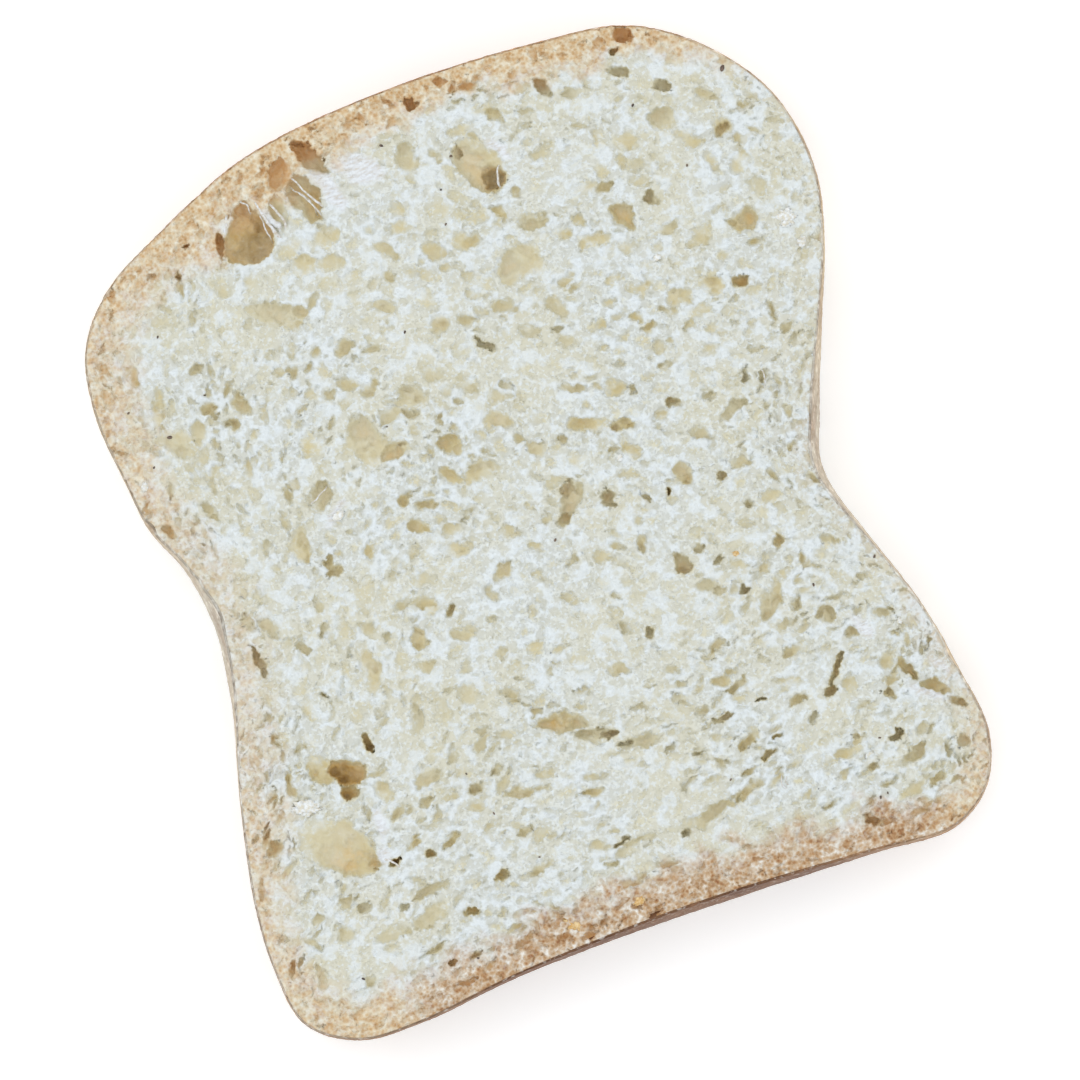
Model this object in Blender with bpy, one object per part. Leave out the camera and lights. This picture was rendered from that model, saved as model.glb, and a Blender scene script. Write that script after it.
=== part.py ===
"""One slice of a tin loaf, lying on its back cut face with the other cut face up.

Metres, +Z up. The crown of the loaf points along +Y, its base along -Y, and the origin is the
middle of the back cut face. Holes and outline are written in millimetres, as a baker would
measure them on the slice with the crown away from them.
"""

import math
import random

import bmesh
import bpy
from mathutils import Matrix, Vector

MM = 0.001

# The slice as a whole, in millimetres.
THICKNESS = 15.0
SLICE_WIDTH = 105.0
SAMPLES_PER_SPAN = 5
SPLINE_TENSION = 0.5

# The rim of the slice, anticlockwise from the left base corner. The sides pinch in at a waist
# about half way up, where the loaf sank a little as it cooled.
LEFT_BASE_CORNER = [(-52.5, -47.5), (-50.9, -55.9), (-44.5, -60.3)]
BASE = [(-36.0, -60.8), (-22.0, -59.3), (-6.0, -58.8), (12.0, -58.85), (30.0, -59.1)]
RIGHT_BASE_CORNER = [(41.4, -59.2), (47.3, -55.2), (49.9, -48.0), (49.0, -40.0)]
RIGHT_WAIST = [(46.9, -29.0), (43.3, -18.0), (40.5, -7.0), (42.6, 0.3), (47.0, 12.5)]
RIGHT_SHOULDER = [(51.0, 23.5), (52.5, 32.0), (50.6, 42.8), (44.5, 51.6), (34.8, 58.3)]
CROWN = [(22.5, 60.1), (8.0, 60.8), (-8.0, 60.2), (-21.0, 58.1), (-33.0, 53.2)]
LEFT_SHOULDER = [(-44.0, 47.1), (-49.4, 40.4), (-51.0, 31.5), (-50.1, 21.0), (-49.3, 14.6)]
LEFT_WAIST = [(-46.7, 8.0), (-45.5, 0.0), (-46.5, -11.0), (-50.0, -26.6), (-52.2, -39.0)]
OUTLINE = (LEFT_BASE_CORNER + BASE + RIGHT_BASE_CORNER + RIGHT_WAIST + RIGHT_SHOULDER
           + CROWN + LEFT_SHOULDER + LEFT_WAIST)

# The loaf is fuller behind the shown cut, so the shown rim lies inside the outline at the waist
# and along the base, and the crust swells a little between the two cuts.
WAIST_HEIGHT = -2.0
WAIST_REACH = 13.0
WAIST_LEAN = 1.3
BASE_LEVEL = -52.0
BASE_MIDDLE = 6.0
BASE_REACH = 24.0
BASE_LEAN = 1.0
CRUST_SWELL = 0.3
WALL_STEPS = 4

# Gas holes of the shown face: middle x and y, length, width, turn from +X in degrees, depth.
CROWN_HOLES = [
    (-23.6, 48.0, 7.6, 6.6, 95, 5.0), (-14.2, 50.4, 7.6, 4.6, 115, 4.2),
    (9.6, 47.0, 8.2, 6.4, 120, 3.2), (11.0, 44.8, 4.6, 3.0, 10, 7.5),
    (0.5, 50.6, 4.4, 3.2, 90, 2.4), (-22.6, 36.4, 8.0, 4.0, -30, 2.4),
    (10.2, 32.3, 6.4, 5.2, 20, 2.6), (14.3, 37.3, 4.8, 2.8, -25, 2.0),
    (4.3, 37.5, 4.6, 2.6, -10, 1.8), (34.8, 44.4, 4.4, 3.0, -35, 2.0),
    (40.9, 28.3, 5.0, 3.4, 12, 2.4), (22.2, 38.9, 4.8, 3.0, 10, 2.0),
    (-41.5, 24.5, 6.6, 3.8, -58, 2.0), (-9.2, 20.2, 5.2, 3.0, -55, 2.1),
]
MIDDLE_HOLES = [
    (-17.2, 15.6, 8.6, 4.8, 98, 2.8), (-14.5, 14.1, 4.2, 3.4, 20, 2.9),
    (-24.1, 18.3, 4.2, 3.6, 80, 1.8), (-25.2, 11.2, 4.2, 3.2, 35, 2.5),
    (-30.3, 6.2, 5.0, 2.8, 95, 2.1), (1.0, 13.2, 4.8, 2.8, -35, 1.8),
    (-3.9, 7.4, 5.6, 3.2, 0, 2.1), (12.8, 8.7, 6.2, 2.6, -20, 1.9),
    (6.0, -0.2, 6.2, 2.9, 62, 3.4), (22.0, -2.0, 3.9, 2.8, 88, 2.1),
    (31.4, 4.1, 5.2, 1.7, 22, 2.0), (-27.0, -13.6, 6.8, 2.6, 80, 1.8),
    (18.3, -13.2, 3.6, 2.4, 85, 2.6), (28.0, -21.9, 6.2, 2.5, 52, 2.0),
]
BASE_HOLES = [
    (-35.2, -24.8, 9.0, 5.4, -32, 3.2), (-34.2, -26.1, 5.0, 3.6, -25, 7.0),
    (-38.8, -34.2, 12.0, 7.2, -40, 3.2), (-5.0, -28.5, 8.2, 2.9, -12, 2.7),
    (-1.4, -31.6, 6.4, 1.8, -10, 2.6), (4.4, -34.4, 6.8, 1.7, 2, 3.0),
    (12.4, -46.2, 13.4, 1.9, 12, 1.8), (-30.6, -47.4, 6.2, 2.5, 12, 2.1),
    (44.6, -38.8, 8.6, 2.8, -50, 2.5), (34.0, -26.3, 3.2, 2.3, 88, 2.3),
    (39.0, -47.7, 4.4, 1.9, 25, 2.0), (20.0, -31.3, 4.6, 1.7, 15, 2.2),
]

# The back cut face is never seen in full, so its holes follow a rule: largest near the middle,
# flatter and level with the base near it, and none where the slice rests on its flat spot.
BACK_HOLES = 26
BACK_LENGTHS = (3.0, 7.5)
BACK_DEPTHS = (1.6, 3.4)
BACK_EDGE_CLEARANCE = 7.0
BACK_SPACING = 1.6
REST_SPOT_RADIUS = 7.0
BACK_SEED = 11

HOLE_FACETS = 2


def clear_scene():
    for obj in list(bpy.data.objects):
        bpy.data.objects.remove(obj)


def spline_point(before, start, end, after, share):
    """A point between start and end on a Catmull-Rom spline whose knots follow the spacing."""
    knots = [0.0]
    for a, b in ((before, start), (start, end), (end, after)):
        knots.append(knots[-1] + (b - a).length ** SPLINE_TENSION)
    t = knots[1] + (knots[2] - knots[1]) * share

    def blend(a, b, low, high):
        return a * ((high - t) / (high - low)) + b * ((t - low) / (high - low))

    first = blend(before, start, knots[0], knots[1])
    second = blend(start, end, knots[1], knots[2])
    third = blend(end, after, knots[2], knots[3])
    return blend(blend(first, second, knots[0], knots[2]), blend(second, third, knots[1], knots[3]),
                 knots[1], knots[2])


def rim_points():
    """The smooth rim through OUTLINE, scaled to SLICE_WIDTH and centred on the origin."""
    corners = [Vector(p) for p in OUTLINE]
    count = len(corners)
    rim = [
        spline_point(corners[i - 1], corners[i], corners[(i + 1) % count], corners[(i + 2) % count],
                     step / SAMPLES_PER_SPAN)
        for i in range(count)
        for step in range(SAMPLES_PER_SPAN)
    ]
    low = Vector((min(p.x for p in rim), min(p.y for p in rim)))
    high = Vector((max(p.x for p in rim), max(p.y for p in rim)))
    scale = SLICE_WIDTH / (high.x - low.x)
    return [(p - (low + high) / 2) * scale for p in rim]


def lean_at(point):
    """How far the shown rim lies inside the outline at this point."""
    waist = WAIST_LEAN * math.exp(-(((point.y - WAIST_HEIGHT) / WAIST_REACH) ** 2))
    if point.y > BASE_LEVEL:
        return waist
    return waist + BASE_LEAN * math.exp(-(((point.x - BASE_MIDDLE) / BASE_REACH) ** 2))


def wall_ring(rim, share):
    """The rim at this share of the thickness, 0 at the back cut and 1 at the shown one."""
    count = len(rim)
    ring = []
    for i, point in enumerate(rim):
        along = (rim[(i + 1) % count] - rim[i - 1]).normalized()
        outward = Vector((along.y, -along.x))
        offset = CRUST_SWELL * (math.sin(math.pi * share) - 1) - lean_at(point) * share ** 1.5
        ring.append(point + outward * offset)
    return ring


def slab(rim):
    """The slice before its holes: a closed stack of rings with a flat face at each end."""
    bm = bmesh.new()
    rings = []
    for step in range(WALL_STEPS + 1):
        share = step / WALL_STEPS
        height = THICKNESS * share
        rings.append([bm.verts.new(Vector((p.x, p.y, height)) * MM) for p in wall_ring(rim, share)])
    for lower, upper in zip(rings, rings[1:]):
        for i in range(len(rim)):
            bm.faces.new((lower[i - 1], lower[i], upper[i], upper[i - 1]))
    bm.faces.new(reversed(rings[0]))
    bm.faces.new(rings[-1])
    bmesh.ops.triangulate(bm, faces=bm.faces[:])
    mesh = bpy.data.meshes.new("slice")
    bm.to_mesh(mesh)
    bm.free()
    return mesh


def back_holes(rim):
    """Holes of the back face, by a seeded rule that keeps them apart and off the rim."""
    rng = random.Random(BACK_SEED)
    holes = []
    while len(holes) < BACK_HOLES:
        middle = Vector((rng.uniform(-1, 1) * SLICE_WIDTH / 2, rng.uniform(-1, 1) * SLICE_WIDTH * 0.58))
        length = rng.uniform(*BACK_LENGTHS)
        edge = min((middle - p).length for p in rim)
        crowded = any((middle - Vector(h[:2])).length < (length + h[2]) / 2 + BACK_SPACING for h in holes)
        outside = not contains(rim, middle) or edge < BACK_EDGE_CLEARANCE
        if outside or crowded or middle.length < REST_SPOT_RADIUS + length / 2:
            continue
        nearness = min(1.0, max(0.0, (middle.y + SLICE_WIDTH * 0.55) / SLICE_WIDTH))
        width = length * (0.4 + 0.35 * nearness)
        turn = rng.uniform(-70, 70) * nearness
        holes.append((middle.x, middle.y, length, width, turn, rng.uniform(*BACK_DEPTHS)))
    return holes


def contains(rim, point):
    """Whether the point is inside the rim, by counting the sides to its right."""
    inside = False
    for a, b in zip(rim, rim[1:] + rim[:1]):
        if (a.y > point.y) != (b.y > point.y):
            crossing = a.x + (point.y - a.y) * (b.x - a.x) / (b.y - a.y)
            inside ^= crossing > point.x
    return inside


def hole_cutter(name, hole, level, collection):
    """An egg-shaped cutter whose widest section lies in a cut face."""
    x, y, length, width, turn, depth = hole
    stretch = Matrix.Diagonal((length / 2 * MM, width / 2 * MM, depth * MM, 1.0))
    turned = Matrix.Rotation(math.radians(turn), 4, "Z")
    place = Matrix.Translation(Vector((x, y, level)) * MM)
    bm = bmesh.new()
    bmesh.ops.create_icosphere(bm, subdivisions=HOLE_FACETS, radius=1.0, matrix=place @ turned @ stretch)
    mesh = bpy.data.meshes.new(name)
    bm.to_mesh(mesh)
    bm.free()
    cutter = bpy.data.objects.new(name, mesh)
    cutter.hide_render = True
    cutter.display_type = "WIRE"
    collection.objects.link(cutter)


def crumb_material():
    material = bpy.data.materials.new("bread")
    material.use_nodes = True
    shader = material.node_tree.nodes["Principled BSDF"]
    shader.inputs["Base Color"].default_value = (0.76, 0.70, 0.52, 1.0)
    shader.inputs["Roughness"].default_value = 0.85
    shader.inputs["Metallic"].default_value = 0.0
    return material


def make_slice():
    rim = rim_points()
    bread = bpy.data.objects.new("slice", slab(rim))
    bread.data.materials.append(crumb_material())
    bpy.context.scene.collection.objects.link(bread)
    cutters = bpy.data.collections.new("gas_holes")
    bpy.context.scene.collection.children.link(cutters)
    for i, hole in enumerate(CROWN_HOLES + MIDDLE_HOLES + BASE_HOLES):
        hole_cutter(f"shown_hole_{i}", hole, THICKNESS, cutters)
    for i, hole in enumerate(back_holes(rim)):
        hole_cutter(f"back_hole_{i}", hole, 0.0, cutters)
    carve = bread.modifiers.new("gas_holes", "BOOLEAN")
    carve.operation = "DIFFERENCE"
    carve.operand_type = "COLLECTION"
    carve.collection = cutters


clear_scene()
make_slice()
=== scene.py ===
import math
import bmesh
import bpy
import numpy as np
from mathutils import Matrix, Vector, noise
from mathutils.bvhtree import BVHTree


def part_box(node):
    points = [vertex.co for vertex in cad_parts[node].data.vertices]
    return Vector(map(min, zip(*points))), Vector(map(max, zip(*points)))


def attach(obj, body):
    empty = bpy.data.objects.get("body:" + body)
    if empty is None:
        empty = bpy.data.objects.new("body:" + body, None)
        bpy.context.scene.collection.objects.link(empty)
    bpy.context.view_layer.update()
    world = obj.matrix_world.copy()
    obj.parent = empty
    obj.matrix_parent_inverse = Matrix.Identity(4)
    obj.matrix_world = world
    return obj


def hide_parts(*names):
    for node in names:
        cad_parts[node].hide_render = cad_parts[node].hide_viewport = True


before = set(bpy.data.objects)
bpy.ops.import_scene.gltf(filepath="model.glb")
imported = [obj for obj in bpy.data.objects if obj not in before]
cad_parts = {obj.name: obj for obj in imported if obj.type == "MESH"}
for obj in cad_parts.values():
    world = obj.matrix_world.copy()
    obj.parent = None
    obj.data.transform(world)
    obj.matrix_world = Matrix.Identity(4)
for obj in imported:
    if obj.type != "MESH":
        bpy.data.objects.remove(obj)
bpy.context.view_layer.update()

# Crumb of the shown cut face
# White wheat crumb, sawn through with a bread knife. It opens gas cells of every size, with thin
# pale walls between them, and under the crust the crumb is browned for a few millimetres.
MM = 0.001
CRUMB_STEP = 0.12 * MM
CRUMB_MARGIN = 1.0 * MM
SLICE_LOW, SLICE_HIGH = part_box("slice")
MIDDLE_LEVEL = (SLICE_LOW.z + SLICE_HIGH.z) / 2
LOW_RING_LEVEL = (SLICE_LOW.z + MIDDLE_LEVEL) / 2
SKIN_INSET = 0.14 * MM
SHOWN_TRIANGLES = 193000
BAND_OVERLAP = 0.2 * MM
SHOWN_SEED = 41

# Gas holes one can point at, in millimetres: middle x and y, length, width, turn in degrees, depth.
CROWN_HOLES = [
    (-23, 36.4, 8.4, 4.3, -30, 1.5), (-41.3, 24.3, 6.5, 3.8, -55, 1.1), (-35.7, 33, 2.5, 1.8, 20, 1.2),
    (-25, 29, 1.8, 1.6, 0, 0.9), (-17, 24.7, 3, 2.4, 10, 1), (-38, 40.8, 4, 2.2, 0, 0.5),
    (-43, 29, 4, 2, 40, 0.5), (-29.5, 28.2, 2.5, 1.5, 10, 0.5), (-11.7, 38, 3.5, 2, 0, 0.5),
    (-48.5, 33, 1.5, 4, 0, 0.8), (-37.8, 46.6, 1.6, 1.2, 0, 1.1), (-33.8, 45.6, 0.8, 1.2, 0, 1.8),
    (-31.6, 49.4, 1.2, 0.8, 0, 1.6), (3.2, 57.7, 2.6, 1.4, -60, 3), (9.3, 57.6, 1.2, 1.6, 0, 1.2),
    (0.5, 50.6, 4.2, 2.8, 85, 1.4), (8.5, 52.3, 3.5, 1.8, 0, 0.5), (12.5, 53.8, 4, 1.8, 0, 0.5),
    (17.6, 51.2, 2.2, 1.8, 0, 1), (-3, 44.8, 2.8, 2.5, -45, 0.6), (-3.5, 42.3, 3.5, 2.5, 0, 0.6),
    (2.3, 43, 4, 4, 0, 0.5), (7.3, 40.3, 4.5, 2.5, 5, 0.6), (4.3, 37.5, 4.5, 2.6, -10, 1.2),
    (13.8, 37.2, 4.5, 2.6, -20, 1.5), (10.4, 32.3, 6.6, 5.2, 20, 1.6), (17.5, 34.2, 3, 1.8, 0, 0.8),
    (-7, 36.2, 2, 2, 0, 0.9), (-2.6, 28.3, 3.2, 3.4, 0, 1), (-12.3, 28, 2.2, 1.5, 0, 0.8),
    (-9.5, 33, 4, 2.2, -25, 0.9), (2.3, 23.4, 3.4, 1.1, -55, 2.4), (8.4, 23.4, 3, 1.8, -10, 1),
    (5, 24, 3, 1.8, -45, 0.5), (12.4, 22.4, 2.4, 1.2, 0, 1.1), (16.8, 27, 2, 1.4, 0, 0.8),
    (-9.3, 20, 5.2, 3, -58, 1.3), (20.9, 53.7, 3.4, 1.7, -55, 2.6), (24.7, 51.8, 3.2, 1.8, -10, 1.3),
    (31.5, 52.6, 3.2, 1.5, -30, 2.4), (31.4, 55.4, 1.6, 1.2, 0, 2.4), (33.3, 56.8, 2.2, 2.4, 0, 3.2),
    (36.4, 48.8, 2.8, 1.7, -35, 2.6), (35, 44.3, 4.4, 3.2, -20, 1.6), (29.5, 43.5, 3.8, 2.6, -10, 0.8),
    (26.3, 44.6, 2.4, 3, 0, 0.6), (37.2, 41.6, 2.8, 2, 0, 0.6), (42.4, 40.8, 3.6, 2.8, 0, 0.8),
    (42.3, 40.3, 2.6, 1.6, 0, 2.2), (29.3, 40, 3, 2.2, 0, 0.9), (22, 39.2, 4.5, 2.6, 0, 0.6),
    (24.2, 38.3, 3, 1.6, 10, 1.3), (25.5, 33.9, 4.2, 3.2, -60, 1.9), (30, 34.8, 2.6, 1.6, -25, 2.6),
    (21, 32, 4.6, 2.2, -10, 0.8), (30.8, 30.3, 3.2, 1.6, 10, 0.9), (38, 30.8, 3, 1.4, 20, 0.6),
    (40.8, 28.2, 5, 3.4, 12, 1.9), (34.5, 28, 4.2, 2.4, 15, 0.9), (41.4, 24.8, 3, 1.6, 0, 1),
    (43, 35.5, 3, 2, 0, 0.5), (34.2, 21, 4.2, 2.6, -15, 1), (29.6, 21, 4.2, 2.4, 0, 0.9),
    (37.8, 20.5, 2, 1.6, 0, 2.3), (25, 23.5, 2.8, 1.6, 25, 0.6), (17.8, 21, 2.6, 1.6, 0, 0.6),
    (50.2, 22.5, 1.2, 3.4, 0, 1),
]
MIDDLE_HOLES = [
    (-17.2, 16.2, 8.6, 5, 95, 1.7), (-14, 14, 4, 3.6, 0, 1.9), (-24.3, 18.3, 4, 4, 0, 0.7),
    (-25.3, 11, 4.6, 3, 35, 1.7), (-30.4, 5.7, 5.8, 2.9, 85, 1.2), (-26.8, 1.2, 3, 1.4, 0, 1.5),
    (-27.5, 2.6, 1.2, 2.4, 0, 1.3), (-21.4, 2.2, 1.8, 3.2, 0, 0.8), (-40.2, -1.8, 1.8, 3.2, 0, 1),
    (-37.8, -3, 4, 2.2, 105, 1.1), (-40.2, -7.3, 5.5, 1.3, 105, 2.4), (-34.2, -7.2, 1.5, 3.2, 0, 1.2),
    (-31, -6.3, 2.6, 1, 60, 1.1), (-27, -13.2, 8, 2.8, 80, 1), (-24, -3, 4, 3, 60, 0.5),
    (-18.8, -11.5, 3.4, 2, 75, 1.2), (-14, -9, 2.2, 1.2, 60, 1.8), (-16.5, -8.3, 2.6, 2.2, 0, 0.6),
    (-22.8, -10.2, 1.2, 1.8, 0, 1), (-41.9, -15, 1.2, 2, 0, 1.2), (-41.8, -17.8, 1, 2.4, 0, 1),
    (-33.8, -14.3, 1.3, 0.8, -40, 1.5), (-37.6, 18.8, 2, 1.8, 0, 0.7), (-46.7, 13.2, 2.6, 1.2, -60, 1.4),
    (-28.2, -7, 2.2, 4.5, 0, 0.6), (-1.8, 19, 4, 2, -50, 0.9), (0.8, 13.2, 4.8, 2.6, -25, 1.1),
    (-4, 7.4, 5.2, 3.2, 0, 1.3), (4.8, 7.8, 3, 2.5, 0, 0.9), (8.2, 8, 1.8, 1.2, -15, 1.1),
    (12.5, 8.6, 6.5, 2.4, -22, 1.2), (16.3, 7.3, 2.8, 1.6, -20, 1.5), (11.5, 14.4, 4.2, 1.4, -15, 1),
    (17, 12.2, 3.6, 2.6, -25, 1.1), (19.3, 11, 1.2, 1.4, 0, 1.5), (3.3, 17.2, 2, 1, -35, 0.9),
    (-7.3, 2.4, 2.6, 1, 50, 0.9), (6.7, 0, 5, 2.9, 70, 1.9), (6.6, 1.2, 2.4, 1.8, 60, 3),
    (4.8, -2.3, 3, 1.6, 20, 2.6), (11.2, -1.8, 1.9, 3, 0, 2.7), (16.6, 3.4, 3.2, 2.6, 0, 0.9),
    (13.8, 3.8, 2.2, 1.2, 0, 0.9), (19.2, -3.7, 0.9, 1.2, 0, 2.2), (16.2, -3, 1, 1.3, 0, 1.3),
    (-5.4, -6.4, 2.8, 2.4, 0, 1.1), (3.6, -7.7, 1.8, 1.4, 0, 1), (13.8, -8.9, 2.4, 1.5, 75, 1),
    (18.2, -13.2, 3.3, 2.2, 80, 2.6), (-3.6, -13.2, 2.8, 1.4, 70, 0.6), (7.8, -19.2, 2.6, 1.6, -30, 1.2),
    (-9, -16.8, 2.2, 1.6, 0, 0.8), (-9.2, -11.9, 2, 1.4, 0, 0.8), (24.1, 18.2, 2.6, 1.4, 5, 1),
    (29.4, 16.9, 2, 1.4, 15, 0.9), (40.6, 15, 3.2, 0.9, 80, 1.1), (24.6, 12.7, 2.4, 1.3, 0, 1),
    (24, 7.7, 2.2, 1.7, 0, 2), (22, 6.7, 2.4, 1.6, 0, 0.8), (28.7, 7.1, 1.8, 1.3, 0, 1.2),
    (34.3, 8.1, 2.4, 1.1, 70, 1.4), (36.4, 7.2, 2.2, 1.1, 70, 1.4), (31.2, 4, 5, 1.5, 20, 1.6),
    (22.1, -1.9, 2.8, 4, 0, 1.5), (26.8, -3.8, 1.5, 1.4, 0, 1.6), (29, -8.1, 1.3, 1.8, 0, 1.3),
    (22.9, -14.4, 1.6, 1.6, 0, 1.8), (20.6, -11.6, 1.4, 1.8, 0, 1.3), (38.5, -7.9, 2.6, 1.1, -65, 1),
    (31.2, -14.6, 2, 1.3, 70, 1.6), (28, -17.5, 3.2, 1.5, 25, 1), (33.9, -18.2, 1.2, 2.6, 0, 1),
    (24.4, -19.2, 1.6, 1.7, 0, 3.2),
]
BASE_HOLES = [
    (-46.5, -32.3, 2.6, 2.4, 0, 1.7), (-42, -24.5, 1.4, 4.8, 8, 1.1), (-30.5, -29.2, 3, 2.4, -60, 0.9),
    (-24, -29.6, 4, 2.8, 20, 1.2), (-25.2, -32.7, 2.8, 1.4, 10, 1.4), (-18.3, -33, 2.6, 2, 0, 1.8),
    (-15.2, -31.4, 2.4, 1.4, 30, 1.2), (-19.5, -30, 2.2, 2, 0, 0.6), (-19.2, -21.5, 5.5, 2.8, 90, 0.8),
    (-14.8, -20.8, 3, 3.4, 0, 0.9), (-15.2, -25.9, 1.8, 1.1, 0, 0.9), (-27.1, -39.4, 2, 1.3, 0, 2.2),
    (-24, -38.5, 4, 1.4, 30, 1.3), (-14.2, -40.8, 3.2, 1.2, 12, 1), (-37.6, -43, 2.4, 1.8, 0, 1.2),
    (-41.3, -46, 2.6, 2.2, 0, 0.9), (-44.2, -43, 1.6, 1.6, 0, 0.9), (-33, -45.2, 2, 1, 0, 1.4),
    (-28.6, -44, 6.5, 1.5, 10, 1.4), (-29.8, -47.3, 6.5, 2.6, 18, 1.3), (-24.3, -48.7, 2.6, 1, 5, 2),
    (-23.5, -42, 3.4, 1.8, 0, 0.6), (-19, -45.5, 2.8, 0.8, 8, 1.8), (-40.7, -53, 1.8, 1.2, 0, 0.9),
    (-31.3, -52, 5.6, 1.1, 14, 1.2), (-29.1, -54.4, 1.8, 0.9, 10, 2), (-25.8, -54.2, 1.9, 1.2, 0, 1.4),
    (-46, -46, 3.2, 1.4, -55, 0.9), (-4.3, -28.4, 8.5, 2.8, -15, 2.1), (-1, -31.3, 6, 1.8, -12, 1.6),
    (1, -31.8, 3, 1.2, -8, 2.8), (4.5, -34.2, 7.5, 1.6, -3, 1.3), (2.6, -34.2, 2.8, 1.2, 0, 2.6),
    (-0.3, -25.5, 3.4, 0.9, -8, 1), (5, -24, 3, 1.6, -5, 1), (10.8, -20.5, 1.2, 1.6, 0, 2.2),
    (-11.8, -35.6, 6.5, 1.4, -5, 1), (13.5, -33, 2.4, 1.2, 0, 1), (16.3, -34.8, 3.2, 0.9, 0, 2),
    (18.6, -25.3, 2.6, 1.4, 0, 1.1), (19.5, -31.3, 4.4, 1.6, 12, 1.5), (12.3, -29.2, 2.2, 1.1, 0, 1),
    (6, -29.8, 3, 0.8, 0, 0.9), (8.7, -36.2, 3, 0.9, 15, 1), (11.4, -38.2, 1.6, 0.9, 0, 1.3),
    (-3.3, -38.5, 3.2, 1.3, 0, 1), (18.8, -39, 4.6, 1.6, 13, 1.4), (9, -41.8, 2.8, 1.1, 30, 1),
    (11.6, -42.6, 3.8, 1.8, 10, 0.8), (17.5, -43.1, 3.4, 0.9, 8, 1), (-2.2, -46, 2.6, 0.7, 12, 1.8),
    (0.4, -46.8, 5.6, 1.1, 4, 0.6), (10, -46.8, 9, 1.7, 10, 1.3), (16.5, -45, 6, 1.3, 12, 1.3),
    (6.5, -47.9, 1.6, 0.7, 0, 2), (-13.3, -46.1, 4.8, 1.4, 4, 1), (-4.2, -48.6, 2.4, 0.9, 0, 0.9),
    (-0.9, -51.5, 2.4, 0.9, 0, 0.9), (27.5, -22.2, 6, 2.2, 50, 1.4), (34, -26.3, 2.1, 3.2, 0, 1.8),
    (36.5, -29.4, 2, 1.9, 0, 1.8), (33, -33.5, 5.5, 1, 60, 2.6), (31.2, -36.2, 2.4, 1.2, 20, 3.2),
    (34.3, -36.2, 3.4, 2.4, 50, 0.8), (26.8, -36, 3.4, 1.2, 5, 1.4), (21.9, -34.4, 1.8, 0.7, 0, 2),
    (24.9, -33.8, 3.6, 1.4, 0, 0.6), (28.4, -29.3, 4, 1.6, 15, 1), (22.6, -39.5, 1.8, 0.8, 0, 1.2),
    (27.8, -39, 2, 1, 25, 1.4), (20.9, -41.3, 2.8, 1, 18, 2), (38.3, -38.9, 1.6, 1.3, 0, 1.4),
    (32.3, -43.2, 1.6, 1, 0, 1.2), (37.6, -44.7, 2.6, 1, 15, 3), (39.2, -47.6, 4, 1.5, 25, 1.6),
    (33.6, -47.6, 2, 0.9, 0, 1.3), (44.1, -48.6, 1.8, 1, 70, 1.4), (46.2, -48.3, 2.2, 1.5, 35, 1.5),
    (42.2, -36.3, 4.4, 1.6, -60, 2.2), (45, -40, 4, 2.6, -45, 1.8), (47, -42.8, 3, 1.2, -30, 1.6),
    (26.6, -50.8, 3.6, 0.9, 10, 1), (41.3, -51.8, 2.6, 1.2, 25, 1.3), (30.7, -54.3, 2, 1.6, 0, 2.8),
]
# The torn ones, where several gave way together. The last number is the way each deepens, in degrees.
TORN_HOLES = [
    (-23.3, 47.5, 7.4, 6.6, 71, 5.8, -109), (-23.2, 51.2, 3.8, 2.8, 71, 3.2, -109),
    (-27.1, 47.7, 3.8, 1.1, 88, 2.6, 0), (-18.3, 49.1, 6, 2.8, 71, 1.2, 71),
    (-16.6, 54.4, 5, 3.4, 60, 1.9, 71), (-11.8, 54.9, 6.8, 2.6, -64, 3.4, 116),
    (-12.9, 57.1, 2.2, 1.4, -19, 4.2, 71), (-14.2, 50.2, 7.2, 3.8, -82, 3.4, 116),
    (-13.5, 44.4, 3.8, 3.6, 0, 0.9, 71), (-17.6, 41.6, 4, 3, 0, 0.8, 71), (-14, 40.6, 4, 2.8, 0, 0.8, 71),
    (9.6, 46.8, 8.6, 6, -64, 1.9, -64), (10.7, 44.7, 3.9, 3, -19, 6.4, -40),
    (7.4, 49.4, 2.6, 1.3, -88, 3.2, 71), (-34.2, -25.3, 5.4, 3.6, -19, 5.4, -109),
    (-34.6, -27.8, 2.4, 2, 0, 4, -109), (-37.6, -24, 5.6, 3.4, -64, 1.3, -64),
    (-30.4, -22.2, 3.2, 1, -80, 4, 0), (-38.5, -34.5, 11.6, 7.2, -45, 1.7, -19),
    (-35, -37.6, 3.4, 2.6, -40, 2.2, -19), (-31.9, -38.9, 1.7, 1.1, 0, 4, 0),
]
# Patches where stretched gluten covers the cells: middle x and y, length, width, turn.
WEBBED = [
    (-6.6, 52.2, 9, 5, -40), (-10.9, 50.6, 8.6, 2.8, -66), (-19.8, 49.6, 6.4, 1.5, -72),
    (-32.2, -33.4, 5.4, 1.9, 84), (-33.2, -37.6, 3.4, 1.7, 60), (-24.4, 8.2, 6, 1.6, 30),
    (-29.6, 47.2, 3.4, 2.4, -60), (43.4, -40.2, 6.4, 1.5, -42), (46.6, -37.4, 3.6, 1.2, -50),
    (12.6, 48.2, 5, 1.4, -50), (38, -29, 5, 2, -60),
]
# Smaller cells fill in by size, from the largest down: longest way across, and how many are tried.
CELL_SIZES = [(2.6, 260), (2.1, 800), (1.7, 2000), (1.35, 4500), (1.05, 9000), (0.8, 16000), (0.62, 16000)]
CELL_WALL, CELL_WALLS = 0.07, (0.6, 3.2)
CELL_STRETCHES, CELL_SPANS, CELL_STEEPS = (0.75, 1.3), (0.85, 1.15), (0.7, 1.5)
CELL_TURN_SPREAD = 22
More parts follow.
